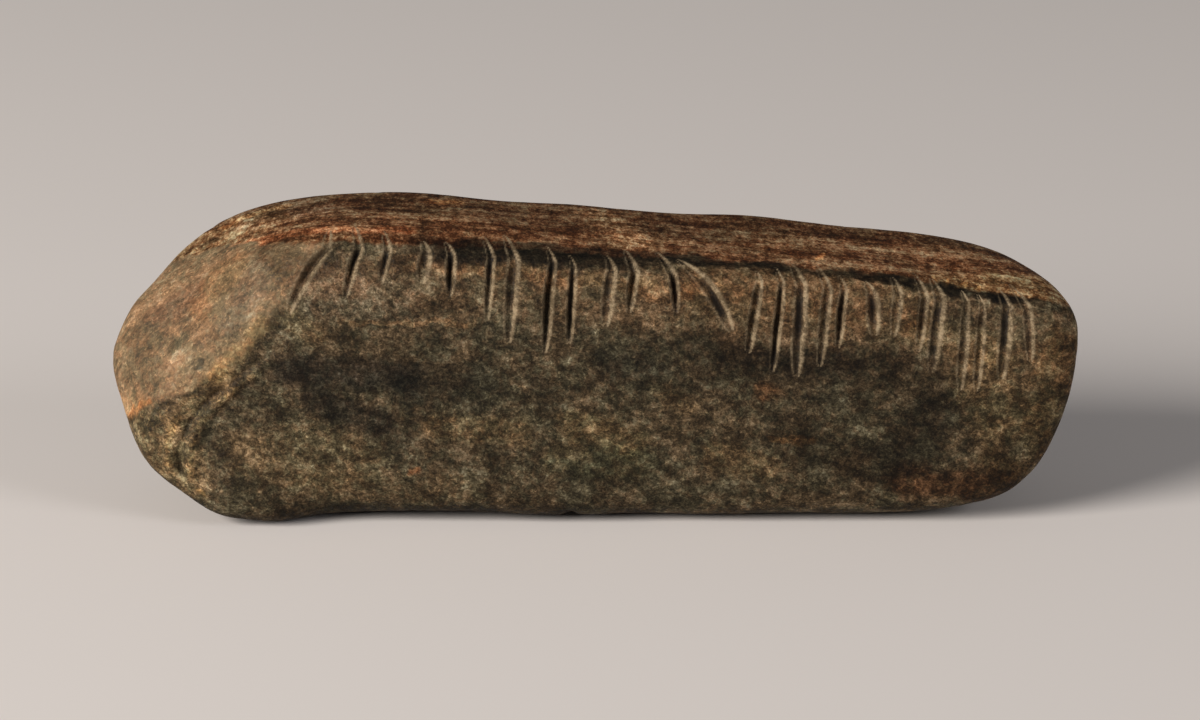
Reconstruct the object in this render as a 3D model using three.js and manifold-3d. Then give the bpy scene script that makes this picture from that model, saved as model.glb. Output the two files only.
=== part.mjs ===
// A small inscribed slab of sandstone, worn smooth, lying on its long edge.
// Millimetres, +Z up. +X runs along the stone, -Y is the inscribed front, and the origin is
// under the middle of its box, on the narrow flat that it rests on.

import * as THREE from 'three';
import { mergeVertices } from 'three/addons/utils/BufferGeometryUtils.js';
import Module from 'manifold-3d';

// Overall size of the stone.
const LENGTH = 110;
const THICKNESS = 21;
const HEIGHT = 34.5;

// The flat rubbed on the lowest edge, as a depth.
const BED_CUT = 0.6;

// How sharp the edges between the faces are: a higher number is crisper.
const EDGE_CRISPNESS = 11;

// The slow unevenness of the whole surface.
const ROLL = 0.09;

// The cut strokes: their usual width and depth, and how far they reach from the top front
// edge, back over the top and down the front.
const STROKE_WIDTH = 1.15;
const STROKE_DEPTH = 0.75;
const STROKE_OVER = 3.4;
const STROKE_DOWN = 8.8;

// How finely the surface is faceted.
const AROUND = 44;
const ALONG = 44;
const END_RINGS = 10;

const half = new THREE.Vector3(LENGTH, THICKNESS, HEIGHT).multiplyScalar(0.5);

// Worn faces. Each has the way it faces, and a point that it passes through, in shares of the
// half length, half thickness and half height from the middle of the stone.
const FACES = [
  { name: 'right end', facing: [0.995, -0.065, 0.073], through: [1.044, 0, 0] },
  { name: 'left end', facing: [-0.997, 0, 0.075], through: [-0.98, 0, 0] },
  { name: 'top', facing: [0.081, -0.072, 0.994], through: [0, 0, 0.856] },
  { name: 'bottom', facing: [0, 0, -1], through: [0, 0, -1.049] },
  { name: 'front', facing: [0, -1, 0.026], through: [0, -0.892, 0] },
  { name: 'back', facing: [0, 1, 0], through: [0, 0.976, 0] },
  { name: 'top bevel', facing: [0, -0.922, 0.386], through: [0, -0.892, 0.621] },
  { name: 'front under', facing: [0, -0.603, -0.798], through: [0, -0.62, -1.049] },
  { name: 'back under', facing: [0, 0.672, -0.741], through: [0, 0.82, -1.049] },
  { name: 'left facet', facing: [-0.565, -0.611, 0.555], through: [-0.87, -0.805, 0] },
  { name: 'left heel', facing: [-0.337, 0, -0.942], through: [-0.872, 0, -0.799] },
  { name: 'left crown', facing: [-0.299, 0, 0.954], through: [-0.648, 0, 0.999] },
  { name: 'right nose', facing: [0.152, 0, 0.988], through: [0.677, 0, 0.999] },
  { name: 'right toe', facing: [0.708, 0, -0.707], through: [0.875, 0, -0.932] },
  { name: 'left back', facing: [-0.689, 0.724, 0], through: [-0.957, 0.937, 0] },
  { name: 'right back', facing: [0.748, 0.663, 0], through: [0.9, 0.956, 0] },
];

// Local swellings and hollows along a short line, in the same shares. Their spread and their
// rise above the faces are shares of the height.
const LUMPS = [
  { name: 'foot', from: [-0.74, -0.83, -0.97], to: [-0.68, -0.83, -0.97], spread: 0.174, rise: 0.054 },
  { name: 'left swell', from: [-1, 0.04, 0.07], to: [-1, 0.04, 0.26], spread: 0.203, rise: 0.091 },
  { name: 'crown hollow', from: [-0.8, 0.32, 0.71], to: [-0.7, 0.32, 0.93], spread: 0.145, rise: -0.024 },
];

// Waves of the slow unevenness: radians for each height along x, y and z, and a start.
const WAVES = [
  { pace: [6.6, 0, 9], start: 0.5 },
  { pace: [10.7, 12.1, -7.6], start: 2.1 },
  { pace: [4.5, -14.1, 12.8], start: 4 },
];

// Runs of strokes along the top front edge. The start and the pitch are shares of the length.
// The first and last strokes of a run lean outwards at the bottom, by shares of the height.
// What wear has left of the depth is a share too.
const RUNS = [
  { start: -0.27, pitch: 0.0327, count: 7, leanLeft: 0.15, leanRight: 0.015, left: 1 },
  { start: -0.044, pitch: 0.0304, count: 6, leanLeft: 0.01, leanRight: 0.17, left: 1.1 },
  { start: 0.171, pitch: 0.0224, count: 6, leanLeft: 0.01, leanRight: 0.03, left: 0.9 },
  { start: 0.317, pitch: 0.0213, count: 7, leanLeft: 0.02, leanRight: 0.05, left: 0.6 },
];

// How the strokes vary from one to the next: by what share, the radians for each stroke, and
// a start. The place varies by shares of the pitch and the lean by shares of the height.
const DRIFT = {
  place: { share: 0.15, pace: 2.9, start: 0 },
  lean: { share: 0.012, pace: 1.7, start: 1 },
  over: { share: 0.5, pace: 1.3, start: 0.4 },
  down: { share: 0.34, pace: 0.8, start: 2.4 },
  width: { share: 0.22, pace: 2.1, start: 1.2 },
  depth: { share: 0.3, pace: 1.9, start: 0.3 },
};

// How high up a leaning stroke its given place is, and how suddenly strokes run out to
// nothing at their ends.
const LEAN_PIVOT = 0.25;
const END_TAPER = 4;

// How far a stroke bends back to the left above the edge and below it, for each step away.
const KINK_OVER = 0.26;
const KINK_DOWN = 0.07;

const inShares = (shares) => new THREE.Vector3(...shares).multiply(half);

const planes = FACES.map(({ name, facing, through }) => {
  const normal = new THREE.Vector3(...facing).normalize();
  return { name, normal, reach: normal.dot(inShares(through)) };
});

const lumps = LUMPS.map(({ from, to, spread, rise }) => ({
  line: new THREE.Line3(inShares(from), inShares(to)),
  spread: spread * HEIGHT,
  rise: rise * HEIGHT,
}));

// How far the surface stands above its plain faces near a point.
function swell(point) {
  const nearest = new THREE.Vector3();
  let sum = 0;
  for (const { line, spread, rise } of lumps) {
    line.closestPointToPoint(point, true, nearest);
    sum += rise * Math.exp(-nearest.distanceToSquared(point) / spread ** 2);
  }
  for (const { pace, start } of WAVES) {
    const phase = new THREE.Vector3(...pace).dot(point) / HEIGHT + start;
    sum += ROLL * Math.sin(phase);
  }
  return sum;
}

// One on the surface, less inside and more outside. A high power of each face's share keeps
// the faces nearly flat and rounds the edges between them, as wear does.
function worn(point) {
  const rise = swell(point);
  let sum = 0;
  for (const { normal, reach } of planes) {
    sum += Math.max(0, normal.dot(point) / (reach + rise)) ** EDGE_CRISPNESS;
  }
  return sum ** (1 / EDGE_CRISPNESS);
}

// The point where a ray from inside the stone leaves it, found by halving.
function surfaceFrom(origin, direction) {
  const halvings = 30;
  let inside = 0;
  let outside = half.length();
  const point = new THREE.Vector3();
  for (let i = 0; i < halvings; i++) {
    const middle = (inside + outside) / 2;
    point.copy(origin).addScaledVector(direction, middle);
    if (worn(point) < 1) {
      inside = middle;
    } else {
      outside = middle;
    }
  }
  return point.copy(origin).addScaledVector(direction, inside);
}

// The way the surface faces at a point, from small steps each way.
function facingAt(point) {
  const step = 0.01 * HEIGHT;
  const slope = (x, y, z) => {
    const offset = new THREE.Vector3(x, y, z).multiplyScalar(step);
    return worn(point.clone().add(offset)) - worn(point.clone().sub(offset));
  };
  return new THREE.Vector3(slope(1, 0, 0), slope(0, 1, 0), slope(0, 0, 1)).normalize();
}

// The rays all start on a line through the heart of the stone, and spread out past its ends.
const heart = half.x - 0.9 * half.z;

// The body is a capsule around that line, whose points are moved out to the worn surface.
function bodyGeometry() {
  const scaffold = new THREE.CapsuleGeometry(half.z, 2 * heart, END_RINGS, AROUND, ALONG);
  scaffold.rotateZ(-Math.PI / 2);
  const geometry = closed(scaffold);
  const place = geometry.getAttribute('position');
  const point = new THREE.Vector3();
  const origin = new THREE.Vector3();
  for (let i = 0; i < place.count; i++) {
    point.fromBufferAttribute(place, i);
    origin.set(THREE.MathUtils.clamp(point.x, -heart, heart), 0, 0);
    const direction = point.clone().sub(origin).normalize();
    const moved = surfaceFrom(origin, direction);
    place.setXYZ(i, moved.x, moved.y, moved.z);
  }
  return geometry;
}

// Shared vertices and positions alone, as a solid needs.
function closed(geometry) {
  geometry.deleteAttribute('normal');
  geometry.deleteAttribute('uv');
  return mergeVertices(geometry, 1e-4);
}

// Where the stone's parts lie once it stands on its flat at exactly its overall size.
function standing(geometry) {
  geometry.computeBoundingBox();
  const low = geometry.boundingBox.min;
  const high = geometry.boundingBox.max;
  const bed = low.z + BED_CUT;
  const under = new THREE.Vector3((low.x + high.x) / 2, (low.y + high.y) / 2, bed);
  const fit = new THREE.Vector3(
    LENGTH / (high.x - low.x),
    THICKNESS / (high.y - low.y),
    HEIGHT / (high.z - bed),
  );
  return new THREE.Matrix4().makeScale(fit.x, fit.y, fit.z)
    .multiply(new THREE.Matrix4().makeTranslation(-under.x, -under.y, -under.z));
}

// The edge between the top and its front bevel, as y and z at a place along the stone.
function topEdge(x) {
  const top = planes.find(({ name }) => name === 'top');
  const bevel = planes.find(({ name }) => name === 'top bevel');
  const topReach = top.reach - top.normal.x * x;
  const bevelReach = bevel.reach - bevel.normal.x * x;
  const cross = top.normal.y * bevel.normal.z - top.normal.z * bevel.normal.y;
  return new THREE.Vector3(
    x,
    (topReach * bevel.normal.z - bevelReach * top.normal.z) / cross,
    (top.normal.y * bevelReach - bevel.normal.y * topReach) / cross,
  );
}

function drift(kind, n) {
  const { share, pace, start } = DRIFT[kind];
  return share * Math.sin(pace * n + start);
}

// The strokes, left to right.
function strokes() {
  const list = [];
  for (const { start, pitch, count, leanLeft, leanRight, left } of RUNS) {
    for (let i = 0; i < count; i++) {
      const n = list.length;
      const fromMiddle = 2 * i / (count - 1) - 1;
      const lean = fromMiddle < 0 ? leanLeft : leanRight;
      list.push({
        x: (start + pitch * (i + drift('place', n))) * LENGTH,
        lean: (lean * fromMiddle ** 3 + drift('lean', n)) * HEIGHT,
        over: STROKE_OVER * (1 + drift('over', n)),
        down: STROKE_DOWN * (1 + drift('down', n)),
        width: STROKE_WIDTH * (1 + drift('width', n)),
        depth: STROKE_DEPTH * left * (1 + drift('depth', n)),
      });
    }
  }
  return list;
}

// The middle line of a stroke on the surface, from its upper end over the edge to its lower
// end, each point with the way the stone faces there.
function strokePath(stroke, steps) {
  const path = [];
  for (let i = 0; i <= steps; i++) {
    const share = i / steps;
    const travel = -stroke.over + (stroke.over + stroke.down) * share;
    const over = Math.max(0, -travel);
    const down = Math.max(0, travel);
    const swing = stroke.lean * (share - LEAN_PIVOT) - KINK_OVER * over - KINK_DOWN * down;
    const aim = topEdge(stroke.x + swing);
    aim.y += over;
    aim.z -= down;
    const origin = new THREE.Vector3(aim.x, 0, 0);
    const point = surfaceFrom(origin, aim.sub(origin).normalize());
    path.push({ point, normal: facingAt(point) });
  }
  return path;
}

// The wedge that cuts a stroke: a four-sided bar along the path with its lower edge at the
// stroke's depth, its walls at one slope, and its ends rising to the surface.
function strokeCutter(stroke, toStand) {
  const steps = 6;
  const lip = 0.5;
  const lid = 1.2;
  const slope = 0.5 * stroke.width / stroke.depth;
  const path = strokePath(stroke, steps);
  for (const spot of path) {
    spot.point.applyMatrix4(toStand);
  }
  const bar = new THREE.CylinderGeometry(1, 1, 1, 4, steps);
  const place = bar.getAttribute('position');
  for (let i = 0; i < place.count; i++) {
    const share = 0.5 + place.getY(i);
    const spot = Math.round(share * steps);
    const { point, normal } = path[spot];
    const ahead = path[Math.min(spot + 1, steps)].point;
    const behind = path[Math.max(spot - 1, 0)].point;
    const along = ahead.clone().sub(behind);
    const across = new THREE.Vector3().crossVectors(along, normal).normalize();
    const deep = stroke.depth * (1 - Math.abs(2 * share - 1) ** END_TAPER);
    const sideways = place.getX(i) * slope * (deep + lip);
    const upward = lip + (place.getZ(i) > 0 ? lid : deep + lip) * place.getZ(i);
    const moved = point.clone().addScaledVector(across, sideways).addScaledVector(normal, upward);
    place.setXYZ(i, moved.x, moved.y, moved.z);
  }
  return closed(bar);
}

const wasm = await Module();
wasm.setup();

function toSolid(geometry) {
  return new wasm.Manifold(new wasm.Mesh({
    numProp: 3,
    vertProperties: new Float32Array(geometry.getAttribute('position').array),
    triVerts: new Uint32Array(geometry.index.array),
  }));
}

function toGeometry(solid) {
  const { vertProperties, triVerts } = solid.getMesh();
  const geometry = new THREE.BufferGeometry();
  geometry.setAttribute('position', new THREE.BufferAttribute(vertProperties, 3));
  geometry.setIndex(new THREE.BufferAttribute(triVerts, 1));
  geometry.computeVertexNormals();
  return geometry;
}

function stoneGeometry() {
  const body = bodyGeometry();
  const toStand = standing(body);
  body.applyMatrix4(toStand);
  const below = new THREE.BoxGeometry(2 * LENGTH, 2 * THICKNESS, HEIGHT);
  below.translate(0, 0, -HEIGHT / 2);
  let stone = toSolid(body).subtract(toSolid(closed(below)));
  for (const stroke of strokes()) {
    stone = stone.subtract(toSolid(strokeCutter(stroke, toStand)));
  }
  return toGeometry(stone);
}

const sandstone = new THREE.MeshStandardMaterial({
  color: new THREE.Color().setRGB(0.083, 0.056, 0.031),
  roughness: 0.85,
  metalness: 0,
});

const stone = new THREE.Mesh(stoneGeometry(), sandstone);
stone.name = 'ogham_stone';

const group = new THREE.Group();
group.add(stone);

export default group;
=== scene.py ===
# %% [markdown]
# # An inscribed sandstone slab
# The object is one palm-sized slab of brown sandstone, worn smooth, that lies on its long
# narrow edge. Short strokes are cut across its top front edge. This lesson starts from the
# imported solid, which fixes every size, and makes a finer copy of the same worn form, cuts
# the strokes into it, weathers its skin and colours its beds and stains.

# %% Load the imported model
import math

import bmesh
import bpy
import numpy as np
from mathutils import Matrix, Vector, kdtree


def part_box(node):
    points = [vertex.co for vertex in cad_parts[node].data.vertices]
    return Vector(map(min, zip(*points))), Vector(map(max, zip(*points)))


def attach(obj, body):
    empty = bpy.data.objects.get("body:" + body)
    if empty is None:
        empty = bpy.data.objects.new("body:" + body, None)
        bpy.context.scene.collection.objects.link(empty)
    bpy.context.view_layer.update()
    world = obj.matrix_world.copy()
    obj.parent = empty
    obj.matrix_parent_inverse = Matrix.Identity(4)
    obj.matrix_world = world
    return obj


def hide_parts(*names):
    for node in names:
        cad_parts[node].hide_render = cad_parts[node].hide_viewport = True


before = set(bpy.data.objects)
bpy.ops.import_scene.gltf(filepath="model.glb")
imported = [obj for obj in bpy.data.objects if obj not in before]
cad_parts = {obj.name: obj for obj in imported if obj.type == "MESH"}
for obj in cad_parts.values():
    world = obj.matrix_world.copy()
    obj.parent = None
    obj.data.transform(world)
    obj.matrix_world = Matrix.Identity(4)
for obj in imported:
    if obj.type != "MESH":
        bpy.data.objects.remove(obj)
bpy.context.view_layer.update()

MM = 0.001
low, high = (np.array(corner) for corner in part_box("ogham_stone"))
size = high - low
half = size / 2
length, height = size[0], size[2]
print("stone, mm:", (size / MM).round(2))

# %% [markdown]
# ## The camera
# The photograph looks a little down on the front of the slab through a long lens, which keeps
# its edges nearly parallel. A long lens from half a metre away gives the same view.

# %% Camera
LENS = 135.9
VIEW_DISTANCE = 520 * MM
VIEW_ELEVATION = math.radians(20)
AIM = Vector((0.96, 0, 17.03)) * MM

camera = bpy.data.objects.new("camera", bpy.data.cameras.new("camera"))
camera.data.lens = LENS
camera.data.sensor_width = 36
camera.data.clip_start = 10 * MM
back_off = Vector((0, -math.cos(VIEW_ELEVATION), math.sin(VIEW_ELEVATION)))
camera.location = AIM + VIEW_DISTANCE * back_off
camera.rotation_euler = (math.pi / 2 - VIEW_ELEVATION, 0, 0)
bpy.context.scene.collection.objects.link(camera)
bpy.context.scene.camera = camera

# %% [markdown]
# ## Light and floor
# One soft window-like light stands to the left, in front and above. It fills the left walls
# of the strokes with shade and throws a faint shadow to the right. A weak second light and a
# dim sky lift the shadows. The floor is pale paper.

# %% Lights, sky and floor
def area_light(name, place, aim, width, watts, colour):
    light = bpy.data.objects.new(name, bpy.data.lights.new(name, "AREA"))
    light.data.shape = "DISK"
    light.data.size = width
    light.data.energy = watts
    light.data.color = colour
    light.location = place
    light.rotation_euler = (Vector(aim) - Vector(place)).to_track_quat("-Z", "Y").to_euler()
    bpy.context.scene.collection.objects.link(light)


area_light("window", (-0.83, -0.57, 0.52), (0, 0, 0.01), 0.58, 15.2, (1.0, 0.97, 0.93))
area_light("fill", (0.83, -0.48, 0.45), (0, 0, 0.01), 0.42, 2.9, (0.98, 0.98, 1.0))

world = bpy.data.worlds.new("sky")
bpy.context.scene.world = world
world.use_nodes = True
background = world.node_tree.nodes["Background"]
background.inputs["Color"].default_value = (0.96, 0.97, 1.0, 1)
background.inputs["Strength"].default_value = 0.11
bpy.context.scene.view_settings.view_transform = "Standard"

# %% [markdown]
# ## Short ways to build node trees
# Both the geometry and the colour are node trees. This small helper adds a node, fills its
# sockets from numbers or from other nodes, and returns what the next step needs.

# %% Node helpers
class Tree:
    """A node tree, and short ways to add to it."""

    def __init__(self, tree):
        self.tree = tree

    def add(self, kind, inputs=None, **settings):
        node = self.tree.nodes.new(kind)
        for name, value in settings.items():
            setattr(node, name, value)
        for key, value in (inputs or {}).items():
            self.feed(node.inputs[key], value)
        return node

    def feed(self, socket, value):
        if isinstance(value, bpy.types.NodeSocket):
            self.tree.links.new(value, socket)
        else:
            socket.default_value = value

    def math(self, operation, *values):
        node = self.add("ShaderNodeMath", dict(enumerate(values)), operation=operation)
        return node.outputs[0]

    def vector(self, operation, *values):
        node = self.add("ShaderNodeVectorMath", dict(enumerate(values)), operation=operation)
        single = operation in ("DOT_PRODUCT", "LENGTH", "DISTANCE")
        return node.outputs["Value" if single else "Vector"]

    def scaled(self, vector, factor):
        node = self.add("ShaderNodeVectorMath", {0: vector, "Scale": factor}, operation="SCALE")
        return node.outputs["Vector"]

    def rise(self, value, start, end, smooth=True):
        """Nought at start and one at end, and level outside them."""
        node = self.add("ShaderNodeMapRange", {"Value": value, "From Min": start, "From Max": end})
        node.interpolation_type = "SMOOTHSTEP" if smooth else "LINEAR"
        return node.outputs["Result"]

    def noise(self, place, wavelength, detail=2.0, roughness=0.5, output=0):
        inputs = {"Vector": place, "Scale": 1 / wavelength, "Detail": detail, "Roughness": roughness}
        return self.add("ShaderNodeTexNoise", inputs).outputs[output]


def geometry_tree(name, sizes):
    """A geometry tree with its named inputs: returns the tree, its input node and its group."""
    group = bpy.data.node_groups.new(name, "GeometryNodeTree")
    group.interface.new_socket("Geometry", in_out="INPUT", socket_type="NodeSocketGeometry")
    for label, kind in sizes.items():
        group.interface.new_socket(label, in_out="INPUT", socket_type="NodeSocket" + kind)
    group.interface.new_socket("Geometry", in_out="OUTPUT", socket_type="NodeSocketGeometry")
    tree = Tree(group)
    return tree, tree.add("NodeGroupInput").outputs, group


def applied(mesh, group, values):
    """The plain mesh that a geometry tree makes from a mesh, with these values in its inputs."""
    thing = bpy.data.objects.new("work", mesh)
    bpy.context.scene.collection.objects.link(thing)
    modifier = thing.modifiers.new(group.name, "NODES")
    modifier.node_group = group
    for item in group.interface.items_tree:
        if item.in_out == "INPUT" and item.name in values:
            modifier[item.identifier] = values[item.name]
    graph = bpy.context.evaluated_depsgraph_get()
    result = bpy.data.meshes.new_from_object(thing.evaluated_get(graph), depsgraph=graph)
    bpy.data.objects.remove(thing)
    return result


def vertices(mesh):
    places = np.empty(3 * len(mesh.vertices), np.float32)
    mesh.vertices.foreach_get("co", places)
    return places.reshape(-1, 3).astype(float)


def set_vertices(mesh, places):
    mesh.vertices.foreach_set("co", places.astype(np.float32).ravel())
    mesh.update()


def attribute(mesh, name, values):
    layer = mesh.attributes.new(name, "FLOAT", "POINT")
    layer.data.foreach_set("value", np.asarray(values, np.float32))


# %% [markdown]
# ## The worn form
# Water and handling have rounded a broken slab. It still has its flat faces, so the form is
# written as those faces, each one a plane. A point's share of a face is how far out it is
# towards that plane, and the high-power mean of all the shares is one on the stone's skin.
# A high power leaves the faces flat and rounds the edges between them, as wear does. These
# are the same faces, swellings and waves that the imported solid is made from.

# %% Faces, swellings and waves
EDGE_CRISPNESS = 11
ROLL = 0.09 * MM
BED_CUT = 0.6 * MM

FACES = {
    "right end": ((0.995, -0.065, 0.073), (1.044, 0, 0)),
    "left end": ((-0.997, 0, 0.075), (-0.98, 0, 0)),
    "top": ((0.081, -0.072, 0.994), (0, 0, 0.856)),
    "bottom": ((0, 0, -1), (0, 0, -1.049)),
    "front": ((0, -1, 0.026), (0, -0.892, 0)),
    "back": ((0, 1, 0), (0, 0.976, 0)),
    "top bevel": ((0, -0.922, 0.386), (0, -0.892, 0.621)),
    "front under": ((0, -0.603, -0.798), (0, -0.62, -1.049)),
    "back under": ((0, 0.672, -0.741), (0, 0.82, -1.049)),
    "left facet": ((-0.565, -0.611, 0.555), (-0.87, -0.805, 0)),
    "left heel": ((-0.337, 0, -0.942), (-0.872, 0, -0.799)),
    "left crown": ((-0.299, 0, 0.954), (-0.648, 0, 0.999)),
    "right nose": ((0.152, 0, 0.988), (0.677, 0, 0.999)),
    "right toe": ((0.708, 0, -0.707), (0.875, 0, -0.932)),
    "left back": ((-0.689, 0.724, 0), (-0.957, 0.937, 0)),
    "right back": ((0.748, 0.663, 0), (0.9, 0.956, 0)),
}

# From and to in shares of the half sizes, then spread and rise in shares of the height.
LUMPS = {
    "foot": ((-0.74, -0.83, -0.97), (-0.68, -0.83, -0.97), 0.174, 0.054),
    "left swell": ((-1, 0.04, 0.07), (-1, 0.04, 0.26), 0.203, 0.091),
    "crown hollow": ((-0.8, 0.32, 0.71), (-0.7, 0.32, 0.93), 0.145, -0.024),
}

# Radians for each height along x, y and z, and a start.
WAVES = (((6.6, 0, 9), 0.5), ((10.7, 12.1, -7.6), 2.1), ((4.5, -14.1, 12.8), 4.0))


def unit(vectors):
    return vectors / np.linalg.norm(vectors, axis=-1, keepdims=True)


facings = unit(np.array([facing for facing, _ in FACES.values()], float))
passing = np.array([through for _, through in FACES.values()]) * half
reaches = np.einsum("ij,ij->i", facings, passing)


def bump(places, start, end, spread, rise):
    """A rounded ridge, or a furrow if the rise is negative, along a short line."""
    line = end - start
    along = np.clip((places - start) @ line / (line @ line), 0, 1)
    away = ((places - start - along[:, None] * line) ** 2).sum(1)
    return rise * np.exp(-away / spread**2)


def face_shares(places):
    """How far out each place is towards each face: one is on its plane."""
    swell = np.zeros(len(places))
    for start, end, spread, rise in LUMPS.values():
        swell += bump(places, np.array(start) * half, np.array(end) * half,
                      spread * height, rise * height)
    for pace, start in WAVES:
        swell += ROLL * np.sin(places @ np.array(pace) / height + start)
    return np.maximum(places @ facings.T / (reaches + swell[:, None]), 0)


def worn(places):
    return (face_shares(places) ** EDGE_CRISPNESS).sum(1) ** (1 / EDGE_CRISPNESS)


# %% [markdown]
# ## Finding the skin
# Every point of a grid looks outwards from the nearest point of a line through the heart of
# the stone. Halving the distance again and again finds where that look leaves the stone.

# %% Points on the skin
HALVINGS = 24
heart = half[0] - 0.9 * half[2]


def on_skin(places):
    origins = np.zeros_like(places)
    origins[:, 0] = np.clip(places[:, 0], -heart, heart)
    outward = unit(places - origins)
    inside = np.zeros(len(places))
    outside = np.full(len(places), np.linalg.norm(half))
    for _ in range(HALVINGS):
        middle = (inside + outside) / 2
        within = worn(origins + outward * middle[:, None]) < 1
        inside = np.where(within, middle, inside)
        outside = np.where(within, outside, middle)
    return origins + outward * inside[:, None]


# %% [markdown]
# ## A grid of even squares
# A sphere has poles where its squares crowd together. A box folded from six grids has none,
# and its squares are all alike, so fine relief is equally sharp all over. A small geometry
# tree makes the box, and each of its points is then moved out to the skin.

# %% The box grid
GRID = 0.62 * MM

box_tree, box_input, box_group = geometry_tree("Box grid", {"Size": "Vector", "Spacing": "Float"})
counts = box_tree.vector("DIVIDE", box_input["Size"], box_input["Spacing"])
split = box_tree.add("ShaderNodeSeparateXYZ", {0: counts}).outputs
box = box_tree.add("GeometryNodeMeshCube", {"Size": box_input["Size"]})
for axis in "XYZ":
    whole = box_tree.math("ADD", box_tree.math("ROUND", split[axis]), 1)
    box_tree.feed(box.inputs["Vertices " + axis], whole)
box_tree.add("NodeGroupOutput", {0: box.outputs["Mesh"]})

stone = applied(bpy.data.meshes.new("seed"), box_group, {"Size": tuple(size), "Spacing": GRID})
raw = on_skin(vertices(stone))
print("grid points:", len(raw))

# %% [markdown]
# ## Standing on its bed
# The lowest edge has a narrow flat rubbed on it. The form is moved so that this flat is at
# height nought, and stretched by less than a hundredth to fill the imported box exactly.

# %% Stand the form on its flat
raw_low = raw.min(0) + (0, 0, BED_CUT)
fit = size / (raw.max(0) - raw_low)
under = np.array([*(raw.min(0) + raw.max(0))[:2] / 2, raw_low[2]])


def standing(places):
    return (places - under) * fit


def lying(places):
    return places / fit + under


set_vertices(stone, standing(raw))
print("stretch to the box:", fit.round(4))

# %% [markdown]
# ## Where the strokes go
# The strokes cross the edge between the top and the bevel in front of it. Four even runs
# stand for the inscription, as plain strokes and not as letters. Each stroke reaches back
# over the top and down the front by its own distance, so each run has a lively outline.

# %% The strokes as points on the edge
STROKE_WIDTH = 1.15 * MM
STROKE_DEPTH = 0.75 * MM
STROKE_OVER = 3.4 * MM
STROKE_DOWN = 8.8 * MM

# How far a stroke bends back to the left above the edge and below it, for each step away.
KINK_OVER = 0.26
KINK_DOWN = 0.07

LEAN_PIVOT = 0.25
END_TAPER = 2.2

# Start and pitch in shares of the length, the count, how far the first and the last stroke
# of the run lean outwards, in shares of the height, and how worn down the run is.
RUNS = (
    (-0.27, 0.0327, 7, 0.15, 0.015, 1.0),
    (-0.044, 0.0304, 6, 0.01, 0.17, 1.1),
    (0.171, 0.0224, 6, 0.01, 0.03, 0.9),
    (0.317, 0.0213, 7, 0.02, 0.05, 0.6),
)

# By what share the strokes vary, the radians for each stroke, and a start.
DRIFT = {
    "place": (0.15, 2.9, 0),
    "lean": (0.012, 1.7, 1),
    "over": (0.5, 1.3, 0.4),
    "down": (0.34, 0.8, 2.4),
    "width": (0.22, 2.1, 1.2),
    "depth": (0.3, 1.9, 0.3),
    # How dark each stroke's bottom and left wall are painted, as dirt and as painted shade.
    "dirt": (0.75, 1.9, -1.2),
}


def drift(kind, number):
    share, pace, start = DRIFT[kind]
    return share * math.sin(pace * number + start)


def top_edge(x):
    """The edge between the top and its bevel, at a place along the finished stone."""
    raw_x = lying(np.array([[x, 0, 0]]))[0, 0]
    which = [list(FACES).index("top"), list(FACES).index("top bevel")]
    across = facings[which][:, 1:]
    y, z = np.linalg.solve(across, reaches[which] - facings[which, 0] * raw_x)
    return standing(np.array([[raw_x, y, z]]))[0]


edge_middle = top_edge(0)
edge_run = (top_edge(half[0]) - edge_middle) / half[0]

strokes = []
for start, pitch, count, lean_left, lean_right, left_over in RUNS:
    for i in range(count):
        number = len(strokes)
        from_middle = 2 * i / (count - 1) - 1
        lean = lean_left if from_middle < 0 else lean_right
        strokes.append({
            "x": (start + pitch * (i + drift("place", number))) * length,
            "lean": (lean * from_middle**3 + drift("lean", number)) * height,
            "over": STROKE_OVER * (1 + drift("over", number)),
            "down": STROKE_DOWN * (1 + drift("down", number)),
            "width": STROKE_WIDTH * (1 + drift("width", number)),
            "depth": STROKE_DEPTH * left_over * (1 + drift("depth", number)),
            "dirt": 1 + drift("dirt", number),
        })

marks = bpy.data.meshes.new("stroke marks")
marks.from_pydata([edge_middle + edge_run * stroke["x"] for stroke in strokes], [], [])
for key in ("lean", "over", "down", "width", "depth", "dirt"):
    attribute(marks, key, [stroke[key] for stroke in strokes])
print("strokes:", len(strokes))

# %% [markdown]
# ## Laying the strokes on the skin
# A stroke repeats, so geometry nodes lay them. A straight line of points is put at each mark
# and bent over the edge by the mark's own reach and lean. A ray from the heart of the stone
# then carries every point on to the skin, whatever the skin does there.

# %% The tree that lays the strokes
LINE_POINTS = 61
WOBBLE = 0.3 * MM
WOBBLE_WAVE = 4 * MM

tree, given, lay_group = geometry_tree("Lay strokes", {
    "Stone": "Object", "Points": "Int", "Pivot": "Float", "Heart": "Vector", "Edge": "Vector",
    "Kink Over": "Float", "Kink Down": "Float", "Wobble": "Float",
})
line = tree.add("GeometryNodeMeshLine", {"Count": given["Points"], "Offset": (0, 0, 0)})
index = tree.add("GeometryNodeInputIndex").outputs[0]
share = tree.math("DIVIDE", index, tree.math("SUBTRACT", given["Points"], 1))
line = tree.add("GeometryNodeStoreNamedAttribute",
                {"Geometry": line.outputs[0], "Name": "share", "Value": share})
laid = tree.add("GeometryNodeInstanceOnPoints",
                {"Points": given["Geometry"], "Instance": line.outputs[0]})
laid = tree.add("GeometryNodeRealizeInstances", {0: laid.outputs[0]})


def named(tree, name):
    node = tree.add("GeometryNodeInputNamedAttribute", {"Name": name}, data_type="FLOAT")
    return node.outputs[0]


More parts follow.
